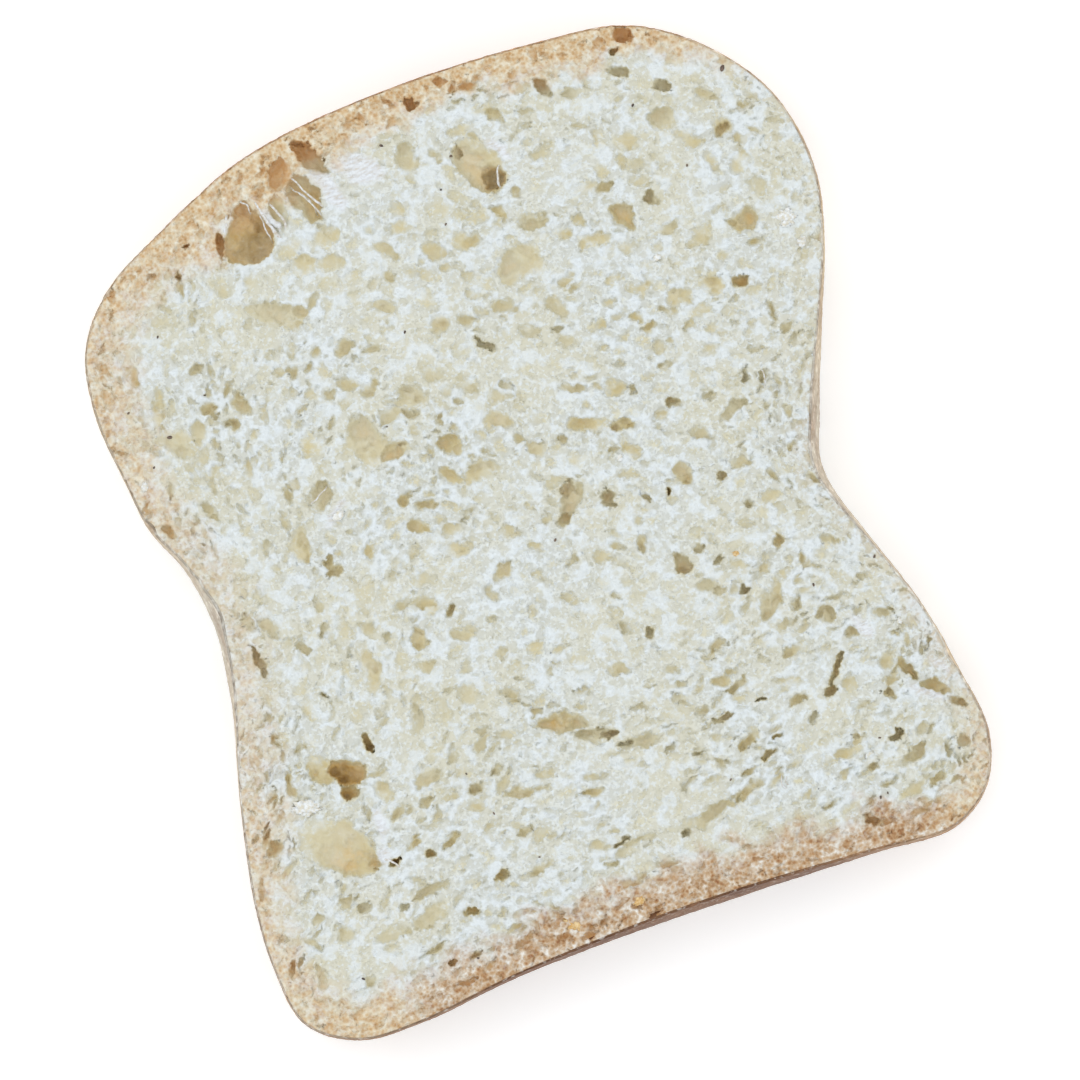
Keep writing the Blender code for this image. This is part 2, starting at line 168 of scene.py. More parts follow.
# Cells are smaller and deeper near the rim, and keep a little way off it.
CELL_RIM_SIZE, CELL_GROWS_OVER = 0.55, 11 * MM
CELL_DEPTH, CELL_DEPTH_MORE, CELL_DEPTH_BIAS, RIM_DEEPENS, RIM_DEEPENS_OVER = 0.15, 0.45, 1.7, 0.6, 3 * MM
CELL_OFF_RIM, CELL_OFF_RIM_SHARE = 0.25 * MM, 0.3
LOBED_LENGTH, CELL_LOBE_OUT, CELL_LOBE_TURN, CELL_LOBE_SIZE, CELL_LOBE_DEEP = 1.2, 0.42, 0.7, 0.6, 0.8
# The bowl of a hole: room left round it in millimetres, how round it is and how far it leans over.
HOLE_ROOM, HOLE_ROUND, HOLE_LOW, HOLE_LEAN = 0.8, 1.5, 0.28, 1.04
LARGE_STEEP, LARGE_SHARE, TORN_STEEP = 0.8, 0.96, 0.55
LOBE_OUT, LOBE_SIZES, LOBE_TURN, LOBE_DEPTHS = 0.36, (0.3, 0.5), 40, (0.45, 0.9)
LOBE_LONG, LOBE_WIDE = 1.2, 0.9
# How far the rim turns the cells along it, and where the cells lie level near the base.
RIM_TURNS, LOW_FROM, LOW_FADE = 9 * MM, 20 * MM, 4 * MM
# Which way the cells lie by their place across the slice: millimetres and degrees.
LEVEL_GRAIN = [(-30, 24), (-4, -12), (8, 2), (30, 13)]
MIDDLE_GRAIN = [(-42, 95), (-26, 80), (-8, -50), (20, -18)]
RIM_WEIGHT, LEVEL_WEIGHT, MIDDLE_WEIGHT = 1.6, 1.3, 0.8
STRETCH, STRETCH_LOW, STRETCH_RIM, STRETCH_LEFT, LEFT_FROM = 1.35, 0.75, 0.5, 0.4, -28 * MM


def rim_ring(level):
    """The slice's rim at one height, in order around it, in metres."""
    spots = [v.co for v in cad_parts["slice"].data.vertices]
    around = {(round(p.x, 6), round(p.y, 6)) for p in spots if abs(p.z - LOW_RING_LEVEL) < 0.01 * MM}
    around = np.array(sorted(around, key=lambda p: math.atan2(p[1], p[0])))
    near = np.array([(p.x, p.y) for p in spots if abs(p.z - level) < 0.01 * MM])
    return np.array([near[np.argmin(((near - p) ** 2).sum(1))] for p in around])


def smooth_ring(ring, steps):
    """A ring with steps points for each of its own, on a Catmull-Rom curve."""
    before, after, beyond = np.roll(ring, 1, 0), np.roll(ring, -1, 0), np.roll(ring, -2, 0)
    parts = []
    for t in np.arange(steps) / steps:
        parts.append(0.5 * (2 * ring + (after - before) * t
                            + (2 * before - 5 * ring + 4 * after - beyond) * t ** 2
                            + (3 * ring - before - 3 * after + beyond) * t ** 3))
    return np.stack(parts, 1).reshape(-1, 2)


class Plan:
    """A raster over the cut face. Its fields are arrays with one row for each step up the slice."""

    def __init__(self, step):
        self.step = step
        self.low = np.array([SLICE_LOW.x, SLICE_LOW.y]) - CRUMB_MARGIN
        span = np.array([SLICE_HIGH.x, SLICE_HIGH.y]) + CRUMB_MARGIN - self.low
        self.across, self.up = (np.ceil(span / step)).astype(int)
        self.x = self.low[0] + step * np.arange(self.across + 1)
        self.y = self.low[1] + step * np.arange(self.up + 1)

    def read(self, field, x, y):
        """The field at any places, blended from its four nearest points."""
        column = np.clip((x - self.low[0]) / self.step, 0, self.across - 0.001)
        row = np.clip((y - self.low[1]) / self.step, 0, self.up - 0.001)
        i, j = column.astype(int), row.astype(int)
        s, t = column - i, row - j
        return ((field[j, i] * (1 - s) + field[j, i + 1] * s) * (1 - t)
                + (field[j + 1, i] * (1 - s) + field[j + 1, i + 1] * s) * t)

    def soften(self, field, size):
        """The field with everything smaller than this size smoothed away."""
        along = np.fft.fftfreq(self.up + 1, self.step)[:, None]
        across = np.fft.rfftfreq(self.across + 1, self.step)[None, :]
        return np.fft.irfft2(np.fft.rfft2(field) * np.exp(-(along ** 2 + across ** 2) * (size * 1.6) ** 2),
                             s=(self.up + 1, self.across + 1))

    def cloud(self, rng, size):
        """Smooth random relief with swells of this size, about -1 to 1 high."""
        waves = self.soften(rng.standard_normal((self.up + 1, self.across + 1)), size)
        return waves / (waves.std() * 2)


fine = Plan(CRUMB_STEP)
coarse = Plan(0.5 * MM)


def edge_fields(ring):
    """How far each place lies inside the rim, the rim's nearest point, and the way out to it."""
    along = np.roll(ring, -1, 0) - np.roll(ring, 1, 0)
    out = np.stack([along[:, 1], -along[:, 0]], 1) / np.linalg.norm(along, axis=1)[:, None]
    inside = np.zeros((coarse.up + 1, coarse.across + 1))
    nearest = np.zeros(inside.shape, int)
    for row, y in enumerate(coarse.y):
        gap = (coarse.x[:, None] - ring[None, :, 0]) ** 2 + (y - ring[None, :, 1]) ** 2
        nearest[row] = gap.argmin(1)
        to_rim = ring[nearest[row]] - np.stack([coarse.x, np.full(len(coarse.x), y)], 1)
        inside[row] = (to_rim * out[nearest[row]]).sum(1)
    return inside, ring[nearest], out[nearest]


def nicked(ring):
    """The ring with the small nicks that the knife and the tin left in the shown edge."""
    along = np.roll(ring, -1, 0) - np.roll(ring, 1, 0)
    inwards = np.stack([-along[:, 1], along[:, 0]], 1) / np.linalg.norm(along, axis=1)[:, None]
    moved = ring.copy()
    for x, y, reach, deep in RIM_NICKS:
        gap = np.hypot(ring[:, 0] - x * MM, ring[:, 1] - y * MM) / (reach * MM)
        moved += inwards * (deep * MM * np.clip(1 - gap ** 2, 0, 1) ** 2)[:, None]
    return moved


# Middle x and y of each nick, how far it reaches along the edge and how deep it goes.
RIM_NICKS = [
    (-49, 14.6, 1.5, 0.5), (-44.6, 1, 4.5, 0.5), (-45.4, 5.6, 1.6, 0.3), (47.8, -36.8, 2.2, 0.45),
    (49.6, -3.6, 1.8, 0.3), (-46.2, -52.6, 3, 0.3), (24, 56.8, 3, 0.2), (-34, 48.6, 3.5, 0.25),
]
RING_STEPS = 6
RING_SHOWN = nicked(smooth_ring(rim_ring(SLICE_HIGH.z), RING_STEPS))
RING_BACK = smooth_ring(rim_ring(SLICE_LOW.z), RING_STEPS)
RIM_WANDER = [(3.0 * MM, 0.34 * MM), (1.1 * MM, 0.24 * MM), (0.45 * MM, 0.17 * MM), (0.24 * MM, 0.10 * MM)]
WAIST = -2.0 * MM
WALL_DRAW = 0.8 * MM
RAGGED = 1.6
# Browning round the rim: angle seen from the middle in degrees, strength, how far in it reaches in mm.
BROWNING = [
    (0, 0.2, 2.6), (20, 0.03, 2.5), (42, 0.1, 2.5), (51, 0.7, 3.4), (60, 1, 5.2), (80, 1, 4.6),
    (98, 1, 5.6), (106, 1, 7.6), (117, 0.97, 7.8), (127, 0.78, 8.2), (143, 0.62, 8.4), (158, 0.56, 7.6),
    (178, 0.34, 6.6), (200, 0.46, 7.2), (216, 0.56, 6.6), (229, 0.62, 7.2), (239, 0.84, 7),
    (248, 0.97, 6.4), (262, 1, 6.8), (290, 1, 6.4), (303, 0.9, 5.2), (311, 0.62, 4.6), (320, 0.34, 4.4),
    (338, 0.18, 3.4), (350, 0.22, 3),
]
BASE_FROM, BASE_TO, BASE_FADE = 236, 308, 6
BROWN_CLOUDS = [(2.6 * MM, 0.24), (MM, 0.14)]
BROWN_FULL, BROWN_FADE = 1.16, 0.75


def open_hole(plan, depth, wander, hole, lean, steep):
    """Sinks one gas hole into the depth field, deeper on the side it leans to."""
    x, y, length, width, turn, deep = hole
    reach = (max(length, width) / 2 + HOLE_ROOM) * MM
    left, right = np.searchsorted(plan.x, [x * MM - reach, x * MM + reach])
    bottom, top = np.searchsorted(plan.y, [y * MM - reach, y * MM + reach])
    window = (slice(bottom, top), slice(left, right))
    dx = plan.x[None, left:right] - x * MM + wander[0][window]
    dy = plan.y[bottom:top, None] - y * MM + wander[1][window]
    cosine, sine = math.cos(math.radians(turn)), math.sin(math.radians(turn))
    along = (dx * cosine + dy * sine) / (length / 2 * MM)
    across = (dy * cosine - dx * sine) / (width / 2 * MM)
    bowl = deep * MM * np.clip(1 - (along ** 2 + across ** 2) ** HOLE_ROUND, 0, 1) ** steep
    leaning = np.clip(0.5 + 0.5 * (along * math.cos(lean) + across * math.sin(lean)), 0, 1)
    bowl *= HOLE_LOW + HOLE_LEAN * leaning
    depth[window] = np.maximum(depth[window], bowl)


def open_lobed_hole(plan, depth, wander, hole, rng):
    """A large hole: its own bowl, and shallower lobes at its rim where neighbours broke into it."""
    x, y, length, width, turn, deep = hole
    lean = rng.uniform(0, 2 * math.pi)
    open_hole(plan, depth, wander, (x, y, length * LARGE_SHARE, width * LARGE_SHARE, turn, deep), lean,
              LARGE_STEEP)
    for angle in rng.uniform(0, 2 * math.pi, rng.integers(2, 5)):
        along, across = LOBE_OUT * length * math.cos(angle), LOBE_OUT * width * math.sin(angle)
        cosine, sine = math.cos(math.radians(turn)), math.sin(math.radians(turn))
        size = rng.uniform(*LOBE_SIZES) * (length * width) ** 0.5
        lobe = (x + along * cosine - across * sine, y + along * sine + across * cosine,
                size * LOBE_LONG, size * LOBE_WIDE, turn + rng.uniform(-LOBE_TURN, LOBE_TURN),
                deep * rng.uniform(*LOBE_DEPTHS))
        open_hole(plan, depth, wander, lobe, lean, LARGE_STEEP)


def grain_at(inside, out):
    """The way the cells lie and how drawn out they are: along the crust near it, level near the base."""
    x, y = np.meshgrid(coarse.x, coarse.y)
    along_rim = np.arctan2(out[..., 0], -out[..., 1])
    near_rim = np.exp(-(np.clip(inside, 0, None) / RIM_TURNS) ** 2)
    low_down = 1 / (1 + np.exp((y + LOW_FROM) / LOW_FADE))
    level, middle = (
        np.radians(np.interp(x, [place * MM for place, _ in stops], [turn for _, turn in stops]))
        for stops in (LEVEL_GRAIN, MIDDLE_GRAIN))
    way = sum(weight * np.exp(2j * turn) for weight, turn in (
        (RIM_WEIGHT * near_rim, along_rim), (LEVEL_WEIGHT * low_down, level),
        (MIDDLE_WEIGHT * (1 - low_down), middle)))
    stretch = STRETCH + STRETCH_LOW * low_down + STRETCH_RIM * near_rim + STRETCH_LEFT * (x < LEFT_FROM)
    return np.cos(np.angle(way)), np.sin(np.angle(way)), stretch


def scatter_cells(plan, depth, wander, taken, inside, grain, rng):
    """Fills the crumb between the larger holes with cells that keep a thin wall between them."""
    for size, tries in CELL_SIZES:
        places = rng.uniform((SLICE_LOW.x, SLICE_LOW.y), (SLICE_HIGH.x, SLICE_HIGH.y), (tries, 2))
        room, *grains = (coarse.read(field, *places.T) for field in (inside, *grain))
        turns = np.degrees(np.arctan2(grains[1], grains[0])) / 2 + rng.normal(0, CELL_TURN_SPREAD, tries)
        stretches = grains[2] * rng.uniform(*CELL_STRETCHES, tries)
        sizes = size * rng.uniform(*CELL_SPANS, tries) * np.clip(
            CELL_RIM_SIZE + room / CELL_GROWS_OVER, 0, 1)
        deeps = sizes * (CELL_DEPTH + CELL_DEPTH_MORE * rng.uniform(0, 1, tries) ** CELL_DEPTH_BIAS)
        deeps = deeps * (1 + RIM_DEEPENS * np.exp(-room / RIM_DEEPENS_OVER))
        steeps = rng.uniform(*CELL_STEEPS, tries)
        leans = rng.uniform(0, 2 * math.pi, tries)
        walls = CELL_WALL * rng.uniform(*CELL_WALLS, tries)
        for k in np.flatnonzero(room > CELL_OFF_RIM + sizes * CELL_OFF_RIM_SHARE * MM):
            x, y = places[k] / MM
            length, width = sizes[k] * stretches[k] ** 0.5, sizes[k] / stretches[k] ** 0.5
            if free_to_cut(plan, taken, x, y, length, width, turns[k], walls[k]):
                cell = (x, y, length, width, turns[k], deeps[k])
                open_cell(plan, depth, wander, cell, leans[k], steeps[k])


def open_cell(plan, depth, wander, cell, lean, steep):
    """A small cell, the larger ones with a lobe at one end."""
    open_hole(plan, depth, wander, cell, lean, steep)
    x, y, length, width, turn, deep = cell
    if length > LOBED_LENGTH:
        side = math.radians(turn) + CELL_LOBE_TURN * math.sin(5 * lean)
        x += CELL_LOBE_OUT * length * math.cos(side)
        y += CELL_LOBE_OUT * length * math.sin(side)
        lobe = (x, y, CELL_LOBE_SIZE * length, CELL_LOBE_SIZE * width, turn, CELL_LOBE_DEEP * deep)
        open_hole(plan, depth, wander, lobe, lean, steep)


def free_to_cut(plan, taken, x, y, length, width, turn, wall):
    """Whether no other cell is here, and if so takes the place and its thin wall."""
    column = int((x * MM - plan.low[0]) / plan.step)
    row = int((y * MM - plan.low[1]) / plan.step)
    if taken[row, column]:
        return False
    reach = int((max(length, width) / 2 + wall) * MM / plan.step) + 1
    rows = slice(max(row - reach, 0), row + reach + 1)
    columns = slice(max(column - reach, 0), column + reach + 1)
    window = (rows, columns)
    dx = plan.x[None, columns] / MM - x
    dy = plan.y[rows, None] / MM - y
    cosine, sine = math.cos(math.radians(turn)), math.sin(math.radians(turn))
    along, across = dx * cosine + dy * sine, dy * cosine - dx * sine
    cell = (along / (length / 2)) ** 2 + (across / (width / 2)) ** 2 < 1
    if (taken[window] & cell).any():
        return False
    taken[window] |= ((along / (length / 2 + wall)) ** 2 + (across / (width / 2 + wall)) ** 2) < 1
    return True


def browning_fields(inside, nearest, rng):
    """How brown the crumb is at each place, and how much of that is the base's pinker brown."""
    angle = np.degrees(np.arctan2(nearest[..., 1], nearest[..., 0])) % 360
    angles, strengths, reaches = zip(*BROWNING)
    strength = np.interp(angle, angles, strengths, period=360)
    reach = np.interp(angle, angles, reaches, period=360) * MM
    base = np.clip((angle - BASE_FROM) / BASE_FADE, 0, 1) * np.clip((BASE_TO - angle) / BASE_FADE, 0, 1)
    depth_in = np.clip(inside / reach, 0, 2)
    for size, share in BROWN_CLOUDS:
        depth_in = depth_in + coarse.cloud(rng, size) * share
    return strength * np.clip(BROWN_FULL - depth_in, 0, 1) ** BROWN_FADE, base


def object_from(bm, name):
    """A piece in the scene from its bmesh."""
    mesh = bpy.data.meshes.new(name)
    bm.to_mesh(mesh)
    bm.free()
    piece = bpy.data.objects.new(name, mesh)
    bpy.context.scene.collection.objects.link(piece)
    return piece


def crumb_band(name, facing, plan, fields, low_edge, high_edge, triangles):
    """A band of one cut face with its holes, down to the middle of the slice and closed behind."""
    inside, out, sunk = fields
    first, last = np.searchsorted(plan.y, [low_edge - BAND_OVERLAP, high_edge + BAND_OVERLAP])
    last = min(last, plan.up)
    bm = bmesh.new()
    bmesh.ops.create_grid(bm, x_segments=plan.across, y_segments=last - first, size=0.5)
    places = np.array([v.co.xy for v in bm.verts])
    places = (places - places.min(0)) / (places.max(0) - places.min(0)) * (plan.across, last - first)
    column, row = np.rint(places).astype(int).T
    x, y = plan.x[column], plan.y[row + first]
    room = coarse.read(inside, x, y)
    level = SLICE_HIGH.z if facing > 0 else SLICE_LOW.z
    for v, p in zip(bm.verts, np.stack([x, y, level - facing * sunk[row + first, column]], 1)):
        v.co = p
    outside = np.array(bm.verts[:], object)[room < SKIN_INSET].tolist()
    bmesh.ops.delete(bm, geom=outside, context="VERTS")
    rim = [v for v in bm.verts if v.is_boundary]
    spots = np.array([v.co.xy for v in rim])
    shift = coarse.read(inside, *spots.T) - SKIN_INSET
    shift[shift > RAGGED * plan.step] = 0
    ways = np.stack([coarse.read(out[..., 0], *spots.T), coarse.read(out[..., 1], *spots.T)], 1)
    for v, move in zip(rim, ways * shift[:, None]):
        v.co.x += move[0]
        v.co.y += move[1]
    walls = bmesh.ops.extrude_edge_only(bm, edges=[e for e in bm.edges if e.is_boundary])
    lower = [v for v in walls["geom"] if isinstance(v, bmesh.types.BMVert)]
    spots = np.array([v.co.xy for v in lower])
    ways = np.stack([coarse.read(out[..., 0], *spots.T), coarse.read(out[..., 1], *spots.T)], 1)
    ways[coarse.read(inside, *spots.T) > RAGGED * plan.step + SKIN_INSET] = 0
    for v, way in zip(lower, ways):
        v.co = (v.co.x - way[0] * WALL_DRAW, v.co.y - way[1] * WALL_DRAW, MIDDLE_LEVEL)
    bmesh.ops.holes_fill(bm, edges=[e for e in bm.edges if e.is_boundary])
    bmesh.ops.recalc_face_normals(bm, faces=bm.faces[:])
    count = sum(len(f.verts) - 2 for f in bm.faces)
    band = object_from(bm, name)
    thin = band.modifiers.new("thin", "DECIMATE")
    thin.ratio = triangles / count
    dressed = bpy.data.meshes.new_from_object(band.evaluated_get(bpy.context.evaluated_depsgraph_get()))
    band.modifiers.clear()
    band.data = dressed
    band.data.shade_smooth()
    return band


def paint(piece, **fields):
    """Stores each field at the piece's points, for its finish to read."""
    spots = np.zeros(len(piece.data.vertices) * 3)
    piece.data.vertices.foreach_get("co", spots)
    spots = spots.reshape(-1, 3)
    for name, (plan, field) in fields.items():
        values = plan.read(field, spots[:, 0], spots[:, 1])
        piece.data.attributes.new(name, "FLOAT", "POINT").data.foreach_set("value", values)


class Finish:
    """A material under way, with the nodes that make its colours and its relief."""

    def __init__(self, name):
        self.material = bpy.data.materials.new(name)
        self.material.use_nodes = True
        self.place = self.node("ShaderNodeTexCoord").outputs["Object"]

    def put(self, socket, value):
        """Joins the value where it is a socket too, and sets it where it is a number or a colour."""
        if isinstance(value, bpy.types.NodeSocket):
            self.material.node_tree.links.new(value, socket)
        else:
            socket.default_value = (*value, 1.0) if socket.type == "RGBA" else value

    def node(self, kind, inputs=None, **settings):
        """A node with its settings made and its inputs filled."""
        made = self.material.node_tree.nodes.new(kind)
        for setting, value in settings.items():
            setattr(made, setting, value)
        for key, value in (inputs or {}).items():
            self.put(made.inputs[key], value)
        return made

    def field(self, name, output="Fac"):
        """A field that the mesh holds at its points."""
        return self.node("ShaderNodeAttribute", attribute_name=name).outputs[output]

    def noise(self, scale, detail, roughness=0.5):
        """Cloudy noise, finer with a higher scale."""
        inputs = {"Vector": self.place, "Scale": scale, "Detail": detail, "Roughness": roughness}
        return self.node("ShaderNodeTexNoise", inputs).outputs["Fac"]

    def rounds(self, scale):
        """How far each place is from the nearest of many scattered middles."""
        return self.node("ShaderNodeTexVoronoi", {"Vector": self.place, "Scale": scale}).outputs["Distance"]

    def ramp(self, factor, stops):
        """A colour that follows factor through the stops, each a place and a colour."""
        made = self.node("ShaderNodeValToRGB", {"Fac": factor})
        elements = made.color_ramp.elements
        while len(elements) < len(stops):
            elements.new(0.5)
        for element, (place, colour) in zip(elements, stops):
            element.position = place
            element.color = (*colour, 1.0)
        return made.outputs["Color"]

    def spread(self, value, low, high, to_low=0.0, to_high=1.0):
        """The value's range from low to high, eased and brought to another range."""
        inputs = {"Value": value, "From Min": low, "From Max": high, "To Min": to_low, "To Max": to_high}
        return self.node("ShaderNodeMapRange", inputs, interpolation_type="SMOOTHSTEP").outputs["Result"]

    def mix(self, factor, first, second, how="MIX"):
        """The second colour over the first by a factor."""
        inputs = {0: factor, 6: first, 7: second}
        return self.node("ShaderNodeMix", inputs, data_type="RGBA", blend_type=how).outputs[2]

    def maths(self, operation, first, second):
        return self.node("ShaderNodeMath", {0: first, 1: second}, operation=operation).outputs[0]

    def times(self, first, second):
        return self.maths("MULTIPLY", first, second)

    def plus(self, first, second):
        return self.maths("ADD", first, second)

    def close(self, colour, height, strength, relief, roughness, shine=0.5):
        """Gives the shader its colour, its relief in metres and its shine."""
        bump = self.node("ShaderNodeBump", {"Height": height, "Strength": strength, "Distance": relief})
        shader = self.material.node_tree.nodes["Principled BSDF"]
        self.put(shader.inputs["Base Color"], colour)
        self.put(shader.inputs["Normal"], bump.outputs["Normal"])
        self.put(shader.inputs["Roughness"], roughness)
        self.put(shader.inputs["Specular IOR Level"], shine)
        return self.material


# The crumb's colours by depth, a painted shade that turns the holes cream, tan and brown, and of its
# toasted edge by how foamy.
HOLLOW_FULL = 4.5
HOLLOW_SHADE_COLOURS = [
    (0.0, (0.765, 0.80, 0.785)), (0.018, (0.75, 0.77, 0.71)), (0.055, (0.72, 0.685, 0.515)),
    (0.11, (0.70, 0.635, 0.42)), (0.20, (0.67, 0.57, 0.315)), (0.34, (0.645, 0.53, 0.29)),
    (0.54, (0.725, 0.53, 0.235)), (0.75, (0.67, 0.455, 0.165)), (1.0, (0.53, 0.35, 0.12)),
]
CROWN_TOAST = [
    (0.28, (0.47, 0.26, 0.10)), (0.41, (0.62, 0.40, 0.20)), (0.51, (0.70, 0.525, 0.32)),
    (0.61, (0.77, 0.65, 0.46)), (0.75, (0.87, 0.82, 0.69)),
]
BASE_TOAST = [
    (0.30, (0.33, 0.145, 0.06)), (0.42, (0.48, 0.28, 0.135)), (0.51, (0.58, 0.405, 0.25)),
    (0.61, (0.69, 0.565, 0.43)), (0.73, (0.88, 0.85, 0.79)),
]
STRETCHED_WEB = [(0.32, (0.66, 0.62, 0.56)), (0.48, (0.75, 0.765, 0.795)), (0.62, (0.84, 0.88, 0.93))]
# Painted shade in the tiny cells too small for the mesh: grey, and browner near the rim.
PIT_SHADE, PIT_SHADE_NEAR_RIM = (0.595, 0.61, 0.565), (0.57, 0.50, 0.37)
# The whiter patches are the crumb's own white with a painted cool light cast; the cream mottling is the
# crumb's own tone.
CREAM, MILK_IN_COOL_LIGHT, FIBRE_GLINT = (0.70, 0.668, 0.51), (0.80, 0.865, 0.915), (0.83, 0.90, 0.95)
# Painted shade in the holes of the toasted crumb.
TOASTED_HOLE_SHADE = (0.64, 0.36, 0.14)
OVERALL = (0.93, 0.93, 0.925)


def crumb_material():
    """Cool white cell walls, their blue cast a painted cool light; painted shade turns the holes and tiny
    cells cream, then tan; bright flecks with painted glints; toasted near the crust.
    """
    crumb = Finish("bread_crumb")
    uneven = crumb.spread(crumb.noise(520.0, 2.0), 0.30, 0.70, 0.70, 1.30)
    hollow = crumb.times(crumb.field("hollow"), uneven)
    shallow = crumb.spread(hollow, 0.15, 0.9, 1.0, 0.15)
    bubble = crumb.maths("MAXIMUM", crumb.spread(crumb.noise(1000.0, 1.0), 0.56, 0.36),
                         crumb.times(crumb.spread(crumb.noise(2500.0, 1.0), 0.52, 0.34), 0.85))
    grains = crumb.noise(1900.0, 2.0)
    milky_cool_light = crumb.times(shallow, crumb.spread(crumb.noise(500.0, 3.0), 0.47, 0.62))
    # Painted shade of the tiny cells where the crumb is shallow; the same cells also go into the bump.
    shaded_pit = crumb.times(crumb.times(bubble, shallow), crumb.maths("SUBTRACT", 1.0, crumb.times(milky_cool_light, 0.3)))

    # Painted shade: the deeper the hole, the darker and warmer its colour, standing in for its shadow and
    # the light scattered in it.
    colour = crumb.ramp(crumb.times(hollow, 1 / HOLLOW_FULL), HOLLOW_SHADE_COLOURS)
    pit_shade_colour = crumb.mix(crumb.field("near_rim"), PIT_SHADE, PIT_SHADE_NEAR_RIM)
    colour = crumb.mix(crumb.times(shaded_pit, 0.75), colour, pit_shade_colour)
    colour = crumb.mix(crumb.spread(crumb.noise(70.0, 3.0), 0.35, 0.64, 0.0, 0.66), colour, CREAM)
    # Whiter patches of crumb, their blue cast a painted cool light.
    colour = crumb.mix(crumb.times(milky_cool_light, 0.62), colour, MILK_IN_COOL_LIGHT)
    # Bright flecks on the raised grains: the crumb's bright fibres, with painted glints.
    colour = crumb.mix(crumb.times(crumb.spread(grains, 0.53, 0.68, 0.0, 0.55), shallow), colour, FIBRE_GLINT)

    stretched = crumb.node("ShaderNodeMapping", {
        "Vector": crumb.place, "Rotation": (0, 0, math.radians(55)), "Scale": (900.0, 2600.0, 1500.0)})
    fibres = crumb.node("ShaderNodeTexNoise", {"Vector": stretched.outputs[0], "Scale": 1.0, "Detail": 3.0})
    shown_web = crumb.times(crumb.field("webbed"), crumb.spread(hollow, 0.3, 1.2, 0.85, 0.25))
    colour = crumb.mix(shown_web, colour, crumb.ramp(fibres.outputs["Fac"], STRETCHED_WEB))

    clumps = crumb.times(crumb.noise(850.0, 3.5, 0.58), 0.78)
    foam = crumb.plus(crumb.times(crumb.rounds(1900.0), 0.28), clumps)
    toasted = crumb.mix(crumb.field("base"), crumb.ramp(foam, CROWN_TOAST), crumb.ramp(foam, BASE_TOAST))
    # Painted shade: the toasted crumb darker and more orange in its deeper holes.
    toasted = crumb.mix(crumb.spread(hollow, 0.12, 1.1, 0.0, 0.75), toasted, TOASTED_HOLE_SHADE)
    browned = crumb.times(crumb.field("brown"), crumb.plus(0.85, crumb.times(bubble, 0.3)))
    colour = crumb.mix(crumb.spread(browned, 0.05, 0.85), colour, toasted)
    colour = crumb.mix(1.0, colour, OVERALL, "MULTIPLY")
    height = crumb.plus(crumb.times(shaded_pit, -0.5), crumb.times(grains, 0.75))
    return crumb.close(colour, height, 0.9, 0.0002, 0.78, 0.3)


# How a cut's relief is put together. Small cells open where the large holes are shallow and no web
# covers them, and others in the large holes' floors. Sizes are in metres, the rest are shares.
CELLS_BELOW, FLOORS_ABOVE, WEB_COVERS, WEB_FILLS = 0.45 * MM, 0.7 * MM, 0.55, 0.85
CELL_LEVEL, CELL_SWELL, CELL_SWELL_SIZE = 0.85, 0.35, 9 * MM
HOLE_SWELL, HOLE_SWELL_SIZE = 0.22, 1.0 * MM
HOLE_GRAIN, HOLE_GRAIN_SIZE, HOLE_GRAIN_FROM = 0.10, 0.45 * MM, 0.8 * MM
CELLS_IN_HOLES, FLOOR_SHARE = 0.3, 0.55
SHADE_SHARP, SHADE_SOFT, SHADE_SIZE = 0.40, 0.75, 0.45 * MM
DEEP_FROM, DEEP_SHARE = 1.5 * MM, 0.52
EDGE_ROUND, EDGE_REACH, RIM_REACH = 0.22 * MM, 0.6 * MM, 2.6 * MM
SWELL, SWELL_SIZE = 0.10 * MM, 12 * MM
FACE_GRAIN, FACE_GRAIN_SIZE = 0.03 * MM, 0.5 * MM


